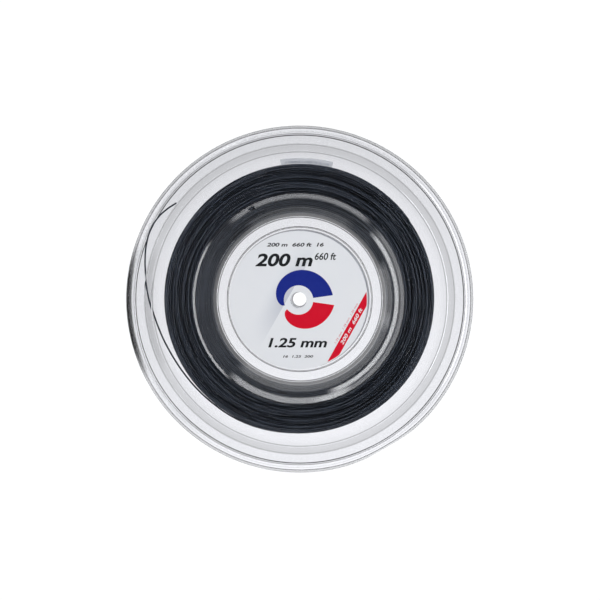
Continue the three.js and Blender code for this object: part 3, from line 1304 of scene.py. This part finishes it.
@dataclass
class BatchSticker:
    """The small translucent sticker on the rear web, partly behind the winding."""

    film: MattFilm = MattFilm()
    inner: float = 88 * MM
    outer: float = 106.6 * MM
    first: float = 76.3
    last: float = 98.0
    low: float = WALL + 0.05 * MM
    thickness: float = 0.1 * MM
    ink: OffsetInk = OffsetInk("7c828a", "8a9097")
    marks: int = 34
    print_radius: float = 102.9 * MM
    print_height: float = 1.7 * MM
    margin: float = 1.5
    dash_share: tuple[float, float] = (0.2, 0.6)
    steps: int = 40
    seed: int = 5

    def printed(self) -> bpy.types.Object:
        """A curved row of small dashes in place of fine print, each a thin block of ink on the film.

        Each dash takes an even share of the arc, and its length is an uneven part of that share.

        Returns:
            The dashes, as one piece.
        """
        rng = np.random.default_rng(self.seed)
        start = np.linspace(self.first + self.margin, self.last - self.margin, self.marks, endpoint=False)
        share = start[1] - start[0]
        end = start + share * rng.uniform(*self.dash_share, self.marks)
        angle = np.stack([start, end, end, start], axis=1)
        radius = self.print_radius + np.array([0.0, 0.0, 1.0, 1.0]) * self.print_height
        low = self.low + self.thickness
        lower = polar(angle, radius, low)
        upper = polar(angle, radius, low + INK_FILM)
        points = np.concatenate([lower, upper], axis=1)
        sides = [[i, (i + 1) % 4, (i + 1) % 4 + 4, i + 4] for i in range(4)]
        block = np.array([[3, 2, 1, 0], [4, 5, 6, 7], *sides])
        quads = (block[None] + 8 * np.arange(self.marks)[:, None, None]).reshape(-1, 4)
        piece = new_piece("batch_sticker_print", points, quads, self.ink.material("offset_ink_grey_sticker"))
        return piece

    def build(self) -> bpy.types.Object:
        """Makes the curved strip, a flat section carried through its stretch of angle, and its print.

        Returns:
            The strip.
        """
        section = sheet_section(self.inner, self.outer, self.low, self.thickness)
        angle = np.linspace(self.first, self.last, self.steps)
        points = polar(angle[:, None], section[None, :, 0], section[None, :, 1])
        n = len(section)
        quads = grid_quads(self.steps, n, wrap_columns=True)[:, ::-1]
        ngons = (np.arange(n), np.arange(n)[::-1] + (self.steps - 1) * n)
        piece = new_piece("batch_sticker_film", points, quads, self.film.material("matt_film"), ngons=ngons)
        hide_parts("batch_sticker")
        self.printed()
        return piece


# ---------------------------------------------------------------- the studio


@dataclass(frozen=True)
class Panel:
    """A lit panel in the studio's sky, given by the direction in which the reel sees it.

    Angles are in degrees: azimuth from +X towards +Y, elevation above the floor. A negative strength
    takes light away, as a black card does.
    """

    azimuth: float
    elevation: float
    half_width: float
    half_height: float
    strength: float
    softness: float = 0.8


@dataclass
class Studio:
    """A lit white table with painted shadows under the reel, a soft sky with strip lights, low lamps and a
    camera straight above the reel.
    """

    distance: float = 1.2
    seen_width: float = 0.45
    sensor: float = 36.0
    aside: tuple[float, float] = (0.2 * MM, -0.7 * MM)
    # Four numbers of a fade: it begins and ends at the first two, and goes from the third to the fourth.
    slant_fade: tuple[float, float, float, float] = (0.03, 0.4, 1.0, 0.55)
    table_fade: tuple[float, float, float, float] = (-0.14, 0.14, 0.965, 1.255)
    low_sky: tuple[float, float, float, float] = (0.3, 0.46, 0.95, 0.14)
    high_sky: tuple[float, float, float, float] = (0.86, 0.97, 0.0, -0.12)
    table_way: tuple[float, float, float] = (0.32, -0.95, 0.0)
    table_half: float = 4.0
    table_drop: float = 0.2 * MM
    white: float = 1.05
    # Painted shadows of the moulding's bends on the table: how much light they leave under them, in three
    # stretches round the bore, the hub floor and the step with the rim: radius in millimetres, share.
    rings: tuple[tuple[tuple[float, float], ...], ...] = (
        ((4.6, 1.0), (4.9, 1.0), (5.1, 0.25), (5.9, 0.4), (6.3, 1.0)),
        (
            *((50, 1.0), (52.2, 1.0), (52.3, 0.4), (52.8, 0.4), (52.9, 1.0), (54.0, 1.0), (54.1, 0.0)),
            *((55.1, 0.0), (55.2, 1.0), (61.6, 1.0), (61.7, 0.15), (62.4, 0.15), (62.5, 0.8)),
            *((63.0, 0.8), (63.1, 0.15), (64.9, 0.1), (66, 1.0)),
        ),
        (
            *((105, 1.0), (106, 1.0), (111.4, 0.92), (111.6, 0.3), (112.1, 0.7), (116.2, 0.64)),
            *((116.3, 0.35), (116.7, 0.35), (116.9, 0.97), (123.8, 0.95), (123.9, 0.0), (124.5, 0.0)),
            *((124.6, 0.75), (125.8, 0.7), (125.9, 0.05), (126.3, 0.05), (126.4, 0.92), (129.6, 0.84)),
            (131, 1.0),
        ),
    )
    # A painted shadow on the table, the dark patch under the rim, which throws the light aside there:
    # angle, half width, inner radius.
    patch: tuple[float, float, float] = (184.0, 21.0, 128.7 * MM)
    # By how many degrees past and short of the half width the patch fades.
    patch_fade: tuple[float, float] = (4.0, -12.0)
    patch_edge: float = 0.6 * MM
    patch_depth: float = 0.97
    panels: tuple[Panel, ...] = (
        Panel(165, 34.4, 55, 1.8, 5.0),
        Panel(160, 39.0, 60, 1.6, 1.7),
        Panel(84, 38.6, 34, 2.4, 3.0),
        Panel(8, 58.0, 38, 12.5, 3.6),
        Panel(270, 46.0, 40, 8.0, 1.9),
        Panel(184, 8.0, 21, 12.0, -0.95),
        Panel(110, 24.0, 60, 6.0, 0.9),
        Panel(182, 24.0, 20, 6.0, 1.1),
        Panel(270, 24.0, 34, 6.0, 0.4),
    )
    lamps: tuple[float, ...] = (1.5, 1.2, 1.25, 1.45, 1.2, 1.35)
    lamp_rise: float = 22.0
    lamp_width: float = 16.0

    def camera(self) -> bpy.types.Object:
        """Sets up a long lens just off the reel's axis, with the top of the label's print up.

        Returns:
            The camera.
        """
        data = bpy.data.cameras.new("camera")
        data.sensor_width = self.sensor
        data.lens = self.sensor * self.distance / self.seen_width
        data.clip_start, data.clip_end = 0.01, 20
        eye = bpy.data.objects.new("camera", data)
        bpy.context.scene.collection.objects.link(eye)
        eye.location = (*self.aside, MID_PLANE + self.distance)
        bpy.context.scene.camera = eye
        return eye

    def evenness(self, tree: bpy.types.NodeTree, place: bpy.types.NodeSocket) -> bpy.types.Node:
        """How bright the table is by the slant of the ray and by where it is lit.

        A sheet under a louvre dims with the slant of the ray, and this one is brightest at the near
        edge, a little to the right.

        Args:
            tree: the table's node tree.
            place: the point on the table.

        Returns:
            The node that gives the share of its full light.
        """
        slant = new_node(tree, "LayerWeight", {"Blend": 0.5}).outputs["Facing"]
        dimming = new_node(tree, "MapRange", (slant, *self.slant_fade), interpolation_type="SMOOTHSTEP")
        across = new_node(tree, "VectorMath", (place, self.table_way), operation="DOT_PRODUCT")
        gradient = new_node(tree, "MapRange", (across.outputs["Value"], *self.table_fade))
        return new_node(tree, "Math", (dimming, gradient), operation="MULTIPLY")

    def ring_shade(
        self,
        tree: bpy.types.NodeTree,
        radius: bpy.types.NodeSocket,
        stretch: tuple[tuple[float, float], ...],
    ) -> bpy.types.Node:
        """Paints the shadow that the bends of the moulding leave on the table, in one stretch of radius.

        Args:
            tree: the table's node tree.
            radius: the distance from the reel's axis.
            stretch: the stretch's radii in millimetres and shares, first and last of which are whole.

        Returns:
            The node that gives the share left, which is whole outside the stretch.
        """
        low, high = stretch[0][0], stretch[-1][0]
        share = new_node(tree, "MapRange", (radius, low * MM, high * MM))
        ramp = new_node(tree, "ValToRGB", (share,))
        stops = ramp.color_ramp.elements
        stops[0].color = stops[1].color = (1.0, 1.0, 1.0, 1.0)
        for at, left in stretch[1:-1]:
            stops.new((at - low) / (high - low)).color = (left, left, left, 1.0)
        return ramp

    def rim_shade(
        self, tree: bpy.types.NodeTree, level: bpy.types.Node, radius: bpy.types.NodeSocket
    ) -> bpy.types.Node:
        """How much light the table keeps beside the painted shadow under the rim, a dark patch.

        Args:
            tree: the table's node tree.
            level: gives the way from the reel's axis to the point, without height.
            radius: its length.

        Returns:
            The node that gives the share left.
        """
        middle, half_width, inner = self.patch
        flat = (math.cos(math.radians(middle)), math.sin(math.radians(middle)), 0.0)
        unit = new_node(tree, "VectorMath", (level,), operation="NORMALIZE")
        facing = new_node(tree, "VectorMath", (unit, flat), operation="DOT_PRODUCT").outputs["Value"]
        ends = (math.cos(math.radians(half_width + more)) for more in self.patch_fade)
        in_angle = new_node(tree, "MapRange", (facing, *ends), interpolation_type="SMOOTHSTEP")
        in_radius = new_node(
            tree, "MapRange", (radius, inner, inner + self.patch_edge, 0.0, self.patch_depth)
        )
        dark = new_node(tree, "Math", (in_angle, in_radius), operation="MULTIPLY")
        return new_node(tree, "Math", (1.0, dark), operation="SUBTRACT")

    def floor(self) -> bpy.types.Object:
        """Makes the lit white table.

        The camera sees it plain white. Through the plastic it dims with the slant of the ray, and its glow
        has painted shadows under the moulding's bends, which draw the moulding's edges as grey lines.

        Returns:
            The table.
        """
        material, tree, place = new_material("studio_light_table")
        level = new_node(tree, "VectorMath", (place, (1.0, 1.0, 0.0)), operation="MULTIPLY")
        radius = new_node(tree, "VectorMath", (level,), operation="LENGTH").outputs["Value"]
        through = self.evenness(tree, place)
        # Painted shadows: rings under the moulding's bends and a dark patch under the rim dim the table's
        # glow.
        shades = [self.ring_shade(tree, radius, stretch) for stretch in self.rings]
        for share in (self.rim_shade(tree, level, radius), *shades):
            through = new_node(tree, "Math", (through, share), operation="MULTIPLY")
        direct = new_node(tree, "LightPath").outputs["Is Camera Ray"]
        strength = new_node(tree, "MapRange", (direct, 0.0, 1.0, through, self.white))
        sheet = new_node(tree, "Emission", {"Color": linear("fdfeff"), "Strength": strength})
        new_node(tree, "OutputMaterial", {"Surface": sheet})
        mesh = bpy.data.meshes.new("floor")
        half = self.table_half
        corners = [(-half, -half, 0), (half, -half, 0), (half, half, 0), (-half, half, 0)]
        mesh.from_pydata(corners, [], [(0, 1, 2, 3)])
        mesh.materials.append(material)
        floor = bpy.data.objects.new("floor", mesh)
        floor.location.z = -self.table_drop
        bpy.context.scene.collection.objects.link(floor)
        return floor

    def panel_light(
        self, tree: bpy.types.NodeTree, way: bpy.types.NodeSocket, panel: Panel
    ) -> bpy.types.Node:
        """The light that one panel adds to the sky in a direction.

        The panel's own angles come from the direction's share along the panel's middle, sideways and
        upwards, and its edges are smooth steps of the angles.

        Args:
            tree: the sky's node tree.
            way: the direction looked in.
            panel: the panel.

        Returns:
            The node that gives the strength to add.
        """
        flat = math.radians(panel.azimuth)
        around = (math.cos(flat), math.sin(flat), 0.0)
        beside = (-around[1], around[0], 0.0)
        forward, sideways, upwards = (
            new_node(tree, "VectorMath", (way, axis), operation="DOT_PRODUCT").outputs["Value"]
            for axis in (around, beside, (0.0, 0.0, 1.0))
        )
        turn = new_node(tree, "Math", (sideways, forward), operation="ARCTAN2")
        rise = new_node(tree, "Math", (upwards,), operation="ARCSINE")
        shares = []
        for angle, middle, half, soft in (
            (turn, 0.0, panel.half_width, 6 * panel.softness),
            (rise, panel.elevation, panel.half_height, panel.softness),
        ):
            apart = new_node(tree, "Math", (angle, math.radians(middle)), operation="SUBTRACT")
            away = new_node(tree, "Math", (apart,), operation="ABSOLUTE")
            fade = (math.radians(half - soft), math.radians(half + soft), 1.0, 0.0)
            shares.append(new_node(tree, "MapRange", (away, *fade), interpolation_type="SMOOTHSTEP"))
        total = new_node(tree, "Math", tuple(shares), operation="MULTIPLY")
        return new_node(tree, "Math", (total, panel.strength), operation="MULTIPLY")

    def sky(self) -> None:
        """Soft light that fades from the horizon to black above, where the camera stands, and the panels.

        It is seen in the reel's gloss only: the lamps light what is dull.
        """
        world = bpy.data.worlds.new("studio")
        world.use_nodes = True
        tree = world.node_tree
        tree.nodes.clear()
        way = new_node(tree, "TexCoord").outputs["Generated"]
        upwards = new_node(tree, "SeparateXYZ", (way,)).outputs["Z"]
        light, overhead = (
            new_node(tree, "MapRange", (upwards, *fade), interpolation_type="SMOOTHSTEP")
            for fade in (self.low_sky, self.high_sky)
        )
        for added in (overhead, *(self.panel_light(tree, way, panel) for panel in self.panels)):
            light = new_node(tree, "Math", (light, added), operation="ADD")
        light = new_node(tree, "Math", (light, 0.0), operation="MAXIMUM")
        glow = new_node(tree, "Background", {"Color": linear("fbfcfe"), "Strength": light})
        new_node(tree, "OutputWorld", {"Surface": glow})
        bpy.context.scene.world = world
        world.cycles_visibility.diffuse = False

    def ring_light(self) -> None:
        """Six soft low lamps all round, which light paper and string and leave no reflection."""
        rise = math.radians(self.lamp_rise)
        for number, strength in enumerate(self.lamps):
            data = bpy.data.lights.new(f"lamp_{number}", "SUN")
            data.angle = math.radians(self.lamp_width)
            data.energy = strength
            lamp = bpy.data.objects.new(f"lamp_{number}", data)
            way = polar(number * 360 / len(self.lamps), math.cos(rise), math.sin(rise))
            lamp.rotation_euler = Vector(way).to_track_quat("Z", "Y").to_euler()
            lamp.visible_glossy = False
            lamp.visible_transmission = False
            bpy.context.scene.collection.objects.link(lamp)

    def light(self) -> None:
        """The sky and the lamps."""
        self.sky()
        self.ring_light()


def main() -> None:
    """Sets up the camera, builds the reel, then the table and the lights."""
    scene = bpy.context.scene
    scene.view_settings.view_transform = "Standard"
    # Light crosses many walls of clear plastic on its way through the reel.
    scene.cycles.max_bounces = 20
    scene.cycles.transmission_bounces = 18
    scene.cycles.transparent_max_bounces = 24
    studio = Studio()
    studio.camera()
    string = PolyesterMonofilament()
    LooseEnd(string).build()
    WoundString(string).build()
    for side in Side:
        half = ReelHalf(side, CrystalPolystyrene())
        half.build()
    # Either half knows where the slot in the front hub wall is.
    InnerEnd(string, *half.anchor_frame()).build()
    HubLabel(Side.FRONT, FRONT_LABEL_CENTRE).build()
    HubLabel(Side.REAR, (0.0, 0.0)).build()
    BatchSticker().build()
    studio.floor()
    studio.light()


if __name__ == "__main__":
    main()
